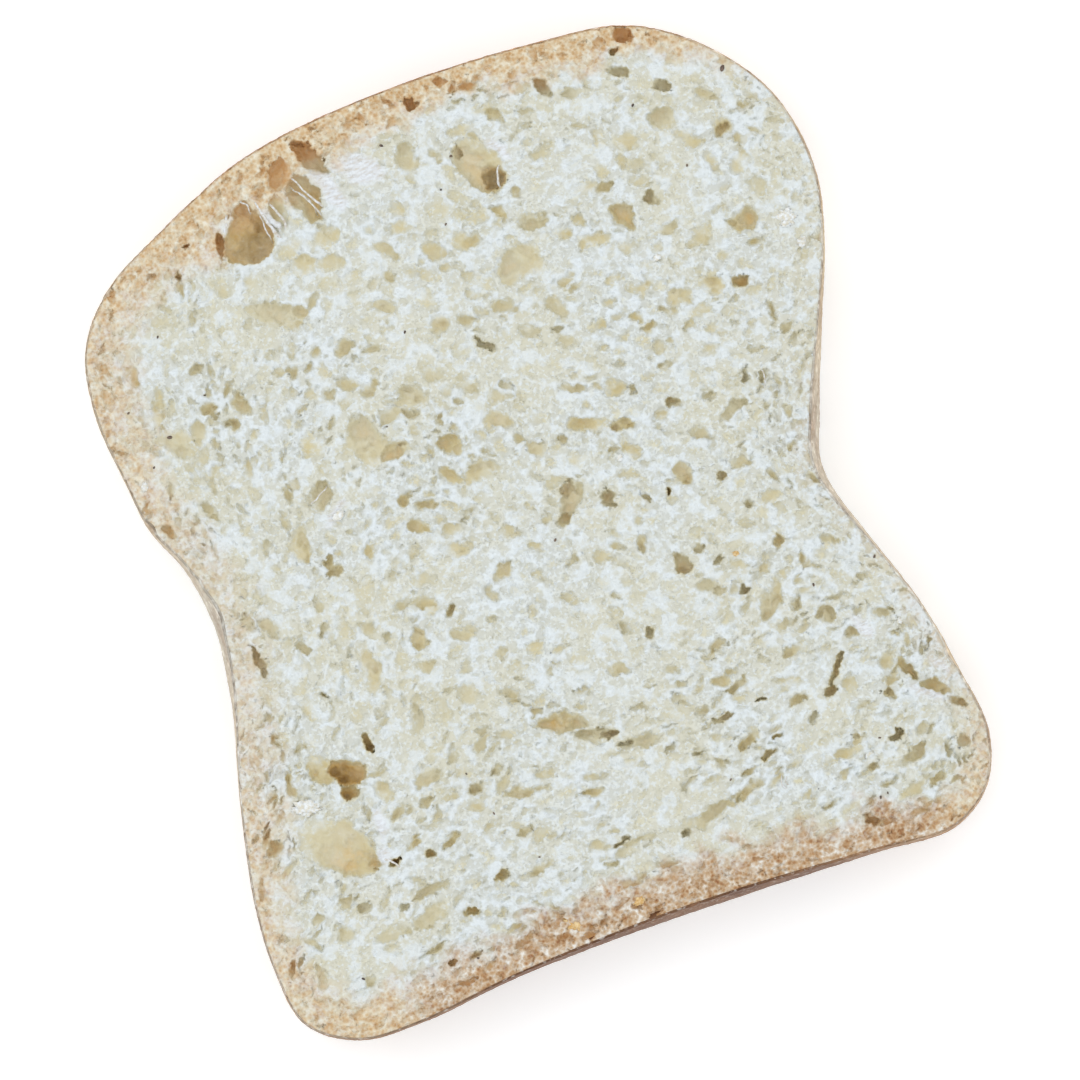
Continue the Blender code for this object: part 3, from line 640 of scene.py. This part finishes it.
def cut_side(facing, plan, rim, rng, large, webbed, bands, triangles):
    """Cuts one side of the slice open between its large holes and gives its bands their finish, with the
    painted shade of its holes.
    """
    inside, nearest, out = rim
    inside_fine = coarse.read(inside, *np.meshgrid(plan.x, plan.y))
    cells = np.zeros(large.shape)
    wander = wander_fields(plan, rng)
    covered = (large > CELLS_BELOW) | (webbed > WEB_COVERS)
    scatter_cells(plan, cells, wander, covered, inside, grain_at(inside, out), rng)
    floors = np.zeros(large.shape)
    scatter_cells(plan, floors, wander, large < FLOORS_ABOVE, inside, grain_at(inside, out), rng)
    cells *= CELL_LEVEL + CELL_SWELL * plan.cloud(rng, CELL_SWELL_SIZE)
    large = large * (1 + HOLE_SWELL * plan.cloud(rng, HOLE_SWELL_SIZE))
    large += np.clip(large / HOLE_GRAIN_FROM, 0, 1) * plan.cloud(rng, HOLE_GRAIN_SIZE) * HOLE_GRAIN * MM
    depth = np.maximum(large, cells) + CELLS_IN_HOLES * np.minimum(large, cells) + FLOOR_SHARE * floors
    depth = depth * (1 - WEB_FILLS * webbed)
    # Painted shade: how dark each place is painted, from its depth, partly blurred as light spreading
    # through the crumb would blur it.
    shade = SHADE_SHARP * depth + SHADE_SOFT * plan.soften(depth, SHADE_SIZE)
    edge = np.clip(1 - (inside_fine - SKIN_INSET) / EDGE_REACH, 0, 1)
    rounding = EDGE_ROUND * edge ** 2 + SWELL * (1 + plan.cloud(rng, SWELL_SIZE).clip(-1, 1))
    rounding += FACE_GRAIN * (1 + plan.cloud(rng, FACE_GRAIN_SIZE).clip(-1, 1))
    sunk = np.where(depth < DEEP_FROM, depth, DEEP_FROM + (depth - DEEP_FROM) * DEEP_SHARE) + rounding
    brown, base = browning_fields(inside, nearest, rng)
    for name, low_edge, high_edge in bands:
        band = crumb_band(name, facing, plan, (inside, out, sunk), low_edge, high_edge, triangles)
        paint(band, hollow=(plan, shade / MM), brown=(coarse, brown), base=(coarse, base),
              webbed=(plan, webbed), near_rim=(coarse, np.exp(-np.clip(inside, 0, None) / RIM_REACH)))
        band.data.materials.clear()
        band.data.materials.append(bread_crumb)
        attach(band, "root")
        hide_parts("slice")
    return sunk


def wander_fields(plan, rng):
    """How far each hole's edge strays, in x and in y."""
    return [sum(plan.cloud(rng, size) * reach for size, reach in RIM_WANDER) for _ in range(2)]


bread_crumb = crumb_material()
WEB_FULL = 1.6
SHOWN_BANDS = [("crumb_base", SLICE_LOW.y, WAIST), ("crumb_crown", WAIST, SLICE_HIGH.y)]
shown_rng = np.random.default_rng(SHOWN_SEED)
shown_wander = wander_fields(fine, shown_rng)
shown_large = np.zeros((fine.up + 1, fine.across + 1))
for hole in CROWN_HOLES + MIDDLE_HOLES + BASE_HOLES:
    open_lobed_hole(fine, shown_large, shown_wander, hole, shown_rng)
for *hole, deepens in TORN_HOLES:
    open_hole(fine, shown_large, shown_wander, hole, math.radians(deepens), TORN_STEEP)
shown_webbed = np.zeros(shown_large.shape)
for patch in WEBBED:
    open_hole(fine, shown_webbed, shown_wander, (*patch, 1 / MM), 0.0, 1.0)
shown_webbed = np.clip(shown_webbed * WEB_FULL, 0, 1)
shown_rim = edge_fields(RING_SHOWN)
shown_sunk = cut_side(1, fine, shown_rim, shown_rng, shown_large, shown_webbed, SHOWN_BANDS,
                      SHOWN_TRIANGLES)

# Crumb of the back cut face
# The same crumb, sawn through on the side it lies on. Its larger holes are the solid's own, felt
# for from below, and the smaller cells fill in between them.
BACK_STEP = 0.2 * MM
BACK_SEED = 7
BACK_TRIANGLES = 150000
FELT_DEEP = 9 * MM
BACK_EDGE = 1.2 * MM
BACK_WEB_SIZE, BACK_WEB_FROM = 5 * MM, 0.8

back_plan = Plan(BACK_STEP)
back_rng = np.random.default_rng(BACK_SEED)
slice_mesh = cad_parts["slice"].data
solid = BVHTree.FromPolygons([v.co for v in slice_mesh.vertices], [p.vertices for p in slice_mesh.polygons])
felt = np.zeros((coarse.up + 1, coarse.across + 1))
for row, y in enumerate(coarse.y):
    for column, x in enumerate(coarse.x):
        met = solid.ray_cast(Vector((x, y, SLICE_LOW.z - MM)), Vector((0, 0, 1)), FELT_DEEP)[0]
        felt[row, column] = met.z - SLICE_LOW.z if met else 0.0
back_wander = wander_fields(back_plan, back_rng)
back_x, back_y = np.meshgrid(back_plan.x, back_plan.y)
back_large = coarse.read(felt, back_x + back_wander[0], back_y + back_wander[1])
back_rim = edge_fields(RING_BACK)
back_large[coarse.read(back_rim[0], back_x, back_y) < BACK_EDGE] = 0
back_webbed = np.clip(back_plan.cloud(back_rng, BACK_WEB_SIZE) - BACK_WEB_FROM, 0, 1)
cut_side(-1, back_plan, back_rim, back_rng, back_large, back_webbed,
         [("crumb_back", SLICE_LOW.y, SLICE_HIGH.y)], BACK_TRIANGLES)

# Crust round the slice
# The loaf's baked skin, thin and tight: golden over the crown, pale down the sides where the tin
# held it, dark brown underneath. The crumb grows into it, and the saw left its two edges thin.
CRUST_ROWS = 26
CRUST_RINGS = [smooth_ring(rim_ring(level), RING_STEPS) for level in np.linspace(
    SLICE_LOW.z, SLICE_HIGH.z, 5)]
CRUST_RINGS[-1] = nicked(CRUST_RINGS[-1])
CRUST_OUT = 0.24 * MM
CRUST_WALL_FROM = 0.6 * MM
CROWN_FROM, CROWN_TO, CROWN_FADE = 40, 150, 20
HOLE_BEHIND, HOLE_DIP_FROM, HOLE_DIP, HOLE_DIP_FADE = 0.8 * MM, 0.6 * MM, 2 * MM, 4 * MM
LIP_FROM, LIP_FADE = 0.3 * MM, 0.9 * MM
# How far in the skin's relief reaches at its edge and at its wall, and its share at the edge.
EDGE_INSET, WALL_INSET, EDGE_RELIEF = 0.6 * MM, 0.5 * MM, 0.8
SKIN_SWELL, SKIN_WRINKLE, CROWN_WRINKLE, SKIN_GRAIN = 0.14, 0.14, 0.18, 0.16
SWELL_SPAN, WRINKLE_SPAN, GRAIN_SPAN = 5, 1.3, 0.45
# The edge's round, from inside the crumb out to the wall: down from the cut, and in from the wall.
CRUST_EDGE = [(1.7, 1.2), (1.0, 0.8), (0.70, 0.52), (0.52, 0.34), (0.42, 0.20), (0.44, 0.09), (0.54, 0.02)]
# Colour of the skin's edge and of its outer side by angle from the middle.
CRUST_EDGE_COLOURS = [
    (0, (0.54, 0.51, 0.45)), (20, (0.74, 0.73, 0.68)), (45, (0.73, 0.69, 0.59)), (60, (0.61, 0.48, 0.33)),
    (90, (0.61, 0.46, 0.31)), (112, (0.6, 0.47, 0.33)), (130, (0.62, 0.56, 0.46)), (150, (0.5, 0.47, 0.4)),
    (178, (0.47, 0.45, 0.4)), (200, (0.6, 0.59, 0.55)), (225, (0.52, 0.5, 0.45)), (238, (0.38, 0.3, 0.22)),
    (248, (0.2, 0.105, 0.055)), (285, (0.19, 0.095, 0.048)), (298, (0.44, 0.27, 0.15)),
    (312, (0.66, 0.6, 0.49)), (335, (0.78, 0.78, 0.74)), (350, (0.62, 0.6, 0.55)),
]
CRUST_SIDE_COLOURS = [
    (0, (0.56, 0.49, 0.38)), (25, (0.61, 0.48, 0.29)), (45, (0.6, 0.39, 0.18)), (62, (0.5, 0.26, 0.09)),
    (90, (0.44, 0.205, 0.065)), (112, (0.48, 0.25, 0.09)), (130, (0.57, 0.38, 0.18)),
    (155, (0.56, 0.45, 0.29)), (180, (0.51, 0.46, 0.37)), (205, (0.56, 0.46, 0.32)),
    (230, (0.42, 0.26, 0.13)), (246, (0.19, 0.086, 0.034)), (290, (0.17, 0.075, 0.03)),
    (306, (0.42, 0.26, 0.13)), (325, (0.56, 0.44, 0.28)), (345, (0.57, 0.49, 0.37)),
]


def crust_band(name):
    """A closed band round the whole slice: outer wall, the two cut edges' rounds and the inner wall."""
    heights = np.linspace(SLICE_LOW.z + CRUST_WALL_FROM, SLICE_HIGH.z - CRUST_WALL_FROM, CRUST_ROWS)
    section = [(SLICE_LOW.z + drop * MM, inset * MM) for drop, inset in CRUST_EDGE]
    section += [(z, 0.0) for z in heights]
    section += [(SLICE_HIGH.z - drop * MM, inset * MM) for drop, inset in reversed(CRUST_EDGE)]
    around = len(CRUST_RINGS[0])
    bm = bmesh.new()
    bmesh.ops.create_cone(bm, cap_ends=False, segments=around, radius1=1, radius2=1, depth=1)
    upright = [e for e in bm.edges if abs(e.verts[0].co.z - e.verts[1].co.z) > 0.5]
    bmesh.ops.subdivide_edges(bm, edges=upright, cuts=len(section) - 2, use_grid_fill=True)
    spots = np.array([v.co for v in bm.verts])
    turn = np.arctan2(spots[:, 1], spots[:, 0]) / (2 * math.pi) * around
    start = np.round(turn - turn[0]).astype(int) % around
    row = np.rint((spots[:, 2] + 0.5) * (len(section) - 1)).astype(int)
    z, inset = np.array(section)[row].T
    share = (z - SLICE_LOW.z) / (SLICE_HIGH.z - SLICE_LOW.z) * (len(CRUST_RINGS) - 1)
    low = np.clip(share.astype(int), 0, len(CRUST_RINGS) - 2)
    blend = (share - low)[:, None]
    rings = np.array(CRUST_RINGS)
    wall = rings[low, start] * (1 - blend) + rings[low + 1, start] * blend
    ahead = rings[low, (start + 3) % around] - rings[low, start - 3]
    out = np.stack([ahead[:, 1], -ahead[:, 0]], 1) / np.linalg.norm(ahead, axis=1)[:, None]
    angle = np.degrees(np.arctan2(wall[:, 1], wall[:, 0])) % 360
    crown = np.clip((angle - CROWN_FROM) / CROWN_FADE, 0, 1)
    crown = crown * np.clip((CROWN_TO - angle) / CROWN_FADE, 0, 1)
    relief = np.array([crust_relief(x, y, h, c) for (x, y), h, c in zip(wall, z, crown)])
    near_hole = fine.read(shown_large, *(wall - out * HOLE_BEHIND).T)
    dip = np.clip(near_hole - HOLE_DIP_FROM, 0, HOLE_DIP)
    z = z - dip * np.clip((z - MIDDLE_LEVEL) / HOLE_DIP_FADE, 0, 1)
    z = z - np.sign(z - MIDDLE_LEVEL) * relief * EDGE_RELIEF * (inset > 0) * (inset < EDGE_INSET)
    wall = wall - out * (inset + (relief - CRUST_OUT) * (inset < WALL_INSET))[:, None]
    for v, p in zip(bm.verts, np.column_stack([wall, z])):
        v.co = p
    bmesh.ops.bridge_loops(bm, edges=[e for e in bm.edges if e.is_boundary])
    bmesh.ops.recalc_face_normals(bm, faces=bm.faces[:])
    band = object_from(bm, name)
    lip = np.clip(1 - (np.minimum(z - SLICE_LOW.z, SLICE_HIGH.z - z) - LIP_FROM) / LIP_FADE, 0, 1)
    colours = np.ones((len(z), 4))
    for channel in range(3):
        edge_colour, side_colour = (
            np.interp(angle, [place for place, _ in stops], [c[channel] for _, c in stops], period=360)
            for stops in (CRUST_EDGE_COLOURS, CRUST_SIDE_COLOURS))
        colours[:, channel] = edge_colour * lip + side_colour * (1 - lip)
    attributes = band.data.attributes
    attributes.new("skin", "FLOAT_COLOR", "POINT").data.foreach_set("color", colours.ravel())
    attributes.new("crown", "FLOAT", "POINT").data.foreach_set("value", crown)
    attributes.new("lip", "FLOAT", "POINT").data.foreach_set("value", lip)
    band.data.shade_smooth()
    return band


def crust_relief(x, y, z, crown):
    """How far the skin lies in from the outline: soft swells, and fine wrinkles over the crown."""
    spot = Vector((x, y, z)) / MM
    swell = 0.5 + 0.5 * noise.noise(spot / SWELL_SPAN)
    wrinkle = abs(noise.noise(spot / WRINKLE_SPAN))
    grain = 0.5 + 0.5 * noise.noise(spot / GRAIN_SPAN)
    wrinkled = (SKIN_WRINKLE + CROWN_WRINKLE * crown) * wrinkle
    return (SKIN_SWELL * swell + wrinkled + SKIN_GRAIN * grain) * MM


BLISTER, PORE = (0.30, 0.13, 0.045), (0.26, 0.14, 0.06)
FLOUR, SCORCHED = (0.80, 0.78, 0.72), (0.22, 0.11, 0.05)
MOTTLED = [(0.30, (0.62, 0.50, 0.42)), (0.62, (1.0, 1.0, 1.0))]
PALER = (1.45, 1.5, 1.6)


def crust_material():
    """The skin's own colours, mottled, with darker blisters over the crown and a dull sheen."""
    skin = Finish("bread_crust")
    lip = skin.field("lip")
    broad, grains, patch = skin.noise(160.0, 5.0), skin.noise(1500.0, 3.0), skin.noise(700.0, 4.0, 0.6)
    pore = skin.spread(skin.rounds(900.0), 0.30, 0.12)
    inner = skin.maths("SUBTRACT", 1.0, skin.times(lip, 0.6))
    colour = skin.mix(inner, skin.field("skin", "Color"), skin.ramp(broad, MOTTLED), "MULTIPLY")
    blister = skin.times(skin.spread(skin.rounds(420.0), 0.10, 0.34, 0.55, 0.0), skin.field("crown"))
    colour = skin.mix(blister, colour, BLISTER)
    flour = skin.times(skin.spread(grains, 0.53, 0.70), skin.plus(0.22, skin.times(lip, 0.40)))
    colour = skin.mix(flour, colour, FLOUR)
    colour = skin.mix(skin.spread(grains, 0.46, 0.30, 0.0, 0.30), colour, SCORCHED)
    paler = skin.mix(1.0, colour, PALER, "MULTIPLY")
    colour = skin.mix(skin.spread(patch, 0.48, 0.68), colour, paler)
    colour = skin.mix(skin.times(pore, 0.32), colour, PORE)
    height = skin.plus(skin.plus(grains, skin.times(broad, 2.0)), skin.times(patch, 1.5))
    return skin.close(colour, skin.maths("SUBTRACT", height, pore), 0.8, 0.00018, 0.62, 0.35)


crust = crust_band("crust")
crust.data.materials.append(crust_material())
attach(crust, "root")
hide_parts("slice")

# Gluten strands and torn webs
# Where the torn holes opened, threads and thin skins of gluten stretched across them and stayed,
# whiter than the rest. Each grows out of the crumb at both its ends.
# In millimetres: start x and y, end x and y, width at the start and at the end, how far it lies down.
STRANDS = [
    (-21.3, 54, -18.9, 45, 0.2, 0.55, 0.15), (-20.9, 50.2, -20.4, 45.8, 0.22, 0.15, 0.35),
    (-19.4, 51.4, -18, 46.4, 0.25, 0.4, 0.2), (-16, 52.4, -12.8, 46.9, 0.18, 0.3, 0.25),
    (-15.4, 54, -12, 47.8, 0.2, 0.34, 0.15), (-15.1, 51.6, -13.4, 47.2, 0.12, 0.18, 0.4),
    (-25, 52, -26.8, 48.6, 0.4, 0.2, 0.25), (-22.8, 52.8, -22, 50.4, 0.35, 0.15, 0.3),
    (12.2, 46.2, 11.2, 42.8, 0.22, 0.35, 0.5), (-33.8, -37.6, -31.2, -40.2, 0.35, 0.22, 0.15),
    (21.4, -44.6, 21.5, -47, 0.18, 0.22, -0.05), (22.1, -44.9, 22, -46.6, 0.12, 0.16, -0.05),
    (36.6, 8.4, 36, 5.2, 0.2, 0.15, 0), (-27.4, 10.6, -24, 12.4, 0.15, 0.2, 0.1),
]
STRAND_SECTIONS = 12
STRAND_BOW, STRAND_STRAY, STRAND_FRAY = 0.55, 0.22, 0.5
STRAND_ROOT, STRAND_RISES, STRAND_THICK, STRAND_FLAT = 0.5 * MM, 0.2, 0.4, 0.45


def surface_at(x, y):
    """The height of the shown crumb at a place in millimetres."""
    return SLICE_HIGH.z - float(fine.read(shown_sunk, np.array([x * MM]), np.array([y * MM]))[0])


def strand(bm, start_x, start_y, end_x, end_y, start_width, end_width, drop):
    """One thread or web: a flattened tube from crumb to crumb, with a ragged edge."""
    rod = bmesh.new()
    bmesh.ops.create_cone(rod, cap_ends=True, segments=8, radius1=1, radius2=1, depth=1)
    lengthwise = [e for e in rod.edges if abs(e.verts[0].co.z - e.verts[1].co.z) > 0.5]
    bmesh.ops.subdivide_edges(rod, edges=lengthwise, cuts=STRAND_SECTIONS - 1, use_grid_fill=True)
    start, end = Vector((start_x, start_y, 0)), Vector((end_x, end_y, 0))
    side = (end - start).cross(Vector((0, 0, 1))).normalized()
    bow = STRAND_BOW * math.sin(7.0 * start_x + end_y)
    levels = [surface_at(start_x, start_y), surface_at(end_x, end_y)]
    for v in rod.verts:
        t = v.co.z + 0.5
        width = (start_width + (end_width - start_width) * t) / 2
        middle = start.lerp(end, t) + side * bow * math.sin(math.pi * t)
        middle += side * STRAND_STRAY * noise.noise(middle * 1.1 + Vector((start_x, end_y, 0)))
        fray = 1 + STRAND_FRAY * noise.noise(middle * 2.3 + v.co * 0.8)
        spot = middle + side * v.co.x * width * fray
        rise = min(t, 1 - t, STRAND_RISES) / STRAND_RISES
        anchor = (levels[0] if t < 0.5 else levels[1]) - STRAND_ROOT
        top = SLICE_HIGH.z - drop * MM
        height = anchor + (max(anchor, top) - anchor) * rise
        height += v.co.y * min(width, STRAND_THICK) * STRAND_FLAT * MM
        v.co = (spot.x * MM, spot.y * MM, height)
    shape = bpy.data.meshes.new("strand")
    rod.to_mesh(shape)
    rod.free()
    bm.from_mesh(shape)
    bpy.data.meshes.remove(shape)


def grown_object(name, bm, finish):
    """A piece of the slice from its bmesh, with its finish and its link to the solid."""
    bmesh.ops.recalc_face_normals(bm, faces=bm.faces[:])
    piece = object_from(bm, name)
    piece.data.shade_smooth()
    piece.data.materials.append(finish)
    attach(piece, "root")
    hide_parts("slice")


def gluten_material():
    """Stretched gluten, a cool white with faint cream streaks."""
    gluten = Finish("gluten")
    streaks = gluten.noise(2200.0, 3.0)
    colour = gluten.ramp(streaks, [
        (0.35, (0.52, 0.47, 0.38)), (0.5, (0.64, 0.62, 0.58)), (0.65, (0.75, 0.77, 0.80))])
    return gluten.close(colour, streaks, 0.7, 0.00012, 0.6)


bm = bmesh.new()
for parts in STRANDS:
    strand(bm, *parts)
grown_object("gluten_strands", bm, gluten_material())

# Stuck crumbs and bran specks
# Crumbs that the saw dragged along and left on the cut, a browned flake at the base, and specks of
# bran milled into the flour.
# In millimetres: middle x and y, length, width, height, turn in degrees.
CRUMBS = [
    (-41, -28, 3.8, 2, 0.9, -14), (-24, 8, 1.8, 1.2, 0.8, 20), (46.6, 26.4, 2.6, 2.3, 0.9, 0),
    (47.4, 22.6, 1.5, 1.2, 0.8, 40), (43.2, -30.2, 1.2, 0.9, 0.6, 10), (-47.6, 20.2, 1.3, 1, 0.6, 60),
    (33.4, -46, 1.3, 0.9, 0.6, 15), (14.6, 3, 1, 0.8, 0.5, 50), (28.2, 27, 1.2, 0.8, 0.5, 20),
]
FLAKES = [(-11.8, -55, 3, 1.6, 0.7, -55), (-2.4, -54.6, 1.6, 1, 0.5, 10), (25.2, -14.4, 0.9, 0.6, 0.4, 0)]
BRAN = [
    (44.9, 48.4, 0.9), (31.8, 47.6, 0.5), (36.1, 37.5, 0.45), (-39.3, 38.9, 0.45), (-42.2, 25.5, 0.7),
    (-45.5, 22.3, 0.4), (-35.9, 29.3, 0.4), (-46.4, 30.4, 0.4), (-2.2, 53.5, 0.6), (6.2, 49.2, 0.6),
    (3.5, 45.2, 0.45), (2.6, 40.6, 0.4), (-7.4, 28.6, 0.45), (2.7, -4.7, 0.5), (-13.8, 17.2, 0.35),
    (-41.2, -52.4, 0.5), (-25.6, -54.8, 0.4), (-17.2, -37, 0.4), (-19, -30.7, 0.35), (-13.3, -44.6, 0.4),
    (33, -52, 0.5), (34.1, -51.7, 0.35), (14.6, -43.1, 0.4), (35.5, -44.3, 0.4), (33.8, -21.8, 0.5),
    (42.8, -20.9, 0.6),
]
LARGE_CRUMB = 1.8
CRUMB_ROUGH, FLAKE_ROUGH, BRAN_ROUGH = 0.5, 0.6, 0.3


def lump(bm, x, y, length, width, height, turn, rough):
    """One rough crumb that sits in the cut face."""
    made = bmesh.ops.create_icosphere(bm, subdivisions=4 if length > LARGE_CRUMB else 3, radius=0.5)
    place = Matrix.Translation((x * MM, y * MM, surface_at(x, y) + 0.05 * height * MM))
    sizes = Matrix.Diagonal((length * MM, width * MM, height * MM, 1))
    for v in made["verts"]:
        knobs = noise.noise(v.co * 6 + Vector((x, y, 0))) + 0.7 * noise.noise(v.co * 14 + Vector((y, x, 0)))
        v.co *= 1 + rough * knobs
    turned = Matrix.Rotation(math.radians(turn), 4, "Z")
    bmesh.ops.transform(bm, matrix=place @ turned @ sizes, verts=made["verts"])


def speck_material(name, dark, light):
    """A mottled finish between two colours."""
    speck = Finish(name)
    mottle = speck.noise(2400.0, 3.0)
    return speck.close(speck.ramp(mottle, [(0.36, dark), (0.62, light)]), mottle, 0.8, 0.00015, 0.75)


bm = bmesh.new()
for crumb in CRUMBS:
    lump(bm, *crumb, CRUMB_ROUGH)
grown_object("stuck_crumbs", bm, speck_material("crumb_bits", (0.70, 0.66, 0.54), (0.84, 0.87, 0.88)))
bm = bmesh.new()
for flake in FLAKES:
    lump(bm, *flake, FLAKE_ROUGH)
grown_object("crust_flakes", bm, speck_material("toasted_bits", (0.62, 0.36, 0.11), (0.82, 0.64, 0.36)))
bm = bmesh.new()
for x, y, size in BRAN:
    lump(bm, x, y, size, 0.6 * size, 0.5 * size, 37 * size * x, BRAN_ROUGH)
grown_object("bran_specks", bm, speck_material("bran", (0.05, 0.035, 0.03), (0.20, 0.14, 0.10)))

# Surroundings
# A plain pale table top under the slice, one wide soft lamp and an even pale sky.
CAMERA_TARGET = Vector((0.75, -4.02, 15.0)) * MM
CAMERA_DISTANCE = 1.6
CAMERA_TILT_X, CAMERA_TILT_Y, CAMERA_ROLL = math.radians(0.5), math.radians(1.2), math.radians(19.0)
FRAME_WIDTH = 1080 * 0.13541 * MM
SENSOR = 36.0
TABLE_HALF = 1.5
TABLE_FINISH = [("Base Color", (0.96, 0.96, 0.96)), ("Roughness", 0.9), ("Emission Color", (1, 1, 1)),
                ("Emission Strength", 0.22)]
SKY_COLOUR, SKY_STRENGTH = (0.97, 0.985, 1.0, 1), 1.07
LAMP_SIZE, LAMP_ENERGY, LAMP_PLACE = 0.5, 0.5, (-0.35, 0.35, 0.6)

bm = bmesh.new()
bmesh.ops.create_grid(bm, x_segments=1, y_segments=1, size=TABLE_HALF)
floor = object_from(bm, "table_top")
table = Finish("table_top")
for name, value in TABLE_FINISH:
    table.put(table.material.node_tree.nodes["Principled BSDF"].inputs[name], value)
floor.data.materials.append(table.material)

world = bpy.data.worlds.new("pale_sky")
world.use_nodes = True
world.node_tree.nodes["Background"].inputs["Color"].default_value = SKY_COLOUR
world.node_tree.nodes["Background"].inputs["Strength"].default_value = SKY_STRENGTH
bpy.context.scene.world = world

lamp_data = bpy.data.lights.new("soft_lamp", "AREA")
lamp_data.size = LAMP_SIZE
lamp_data.energy = LAMP_ENERGY
lamp = bpy.data.objects.new("soft_lamp", lamp_data)
lamp.location = LAMP_PLACE
lamp.rotation_euler = (-lamp.location).to_track_quat("-Z", "Y").to_euler()
bpy.context.scene.collection.objects.link(lamp)

camera_data = bpy.data.cameras.new("camera")
camera_data.sensor_width = SENSOR
camera_data.lens = SENSOR * CAMERA_DISTANCE / FRAME_WIDTH
camera_data.clip_end = 10.0
camera = bpy.data.objects.new("camera", camera_data)
away = Vector((math.sin(CAMERA_TILT_X), -math.sin(CAMERA_TILT_Y), 1.0)).normalized()
up = Vector((math.sin(CAMERA_ROLL), math.cos(CAMERA_ROLL), 0.0))
right = up.cross(away).normalized()
up = away.cross(right)
camera.matrix_world = Matrix.Translation(CAMERA_TARGET + away * CAMERA_DISTANCE) @ Matrix(
    (right, up, away)).transposed().to_4x4()
bpy.context.scene.collection.objects.link(camera)
bpy.context.scene.camera = camera
bpy.context.scene.view_settings.view_transform = "Standard"
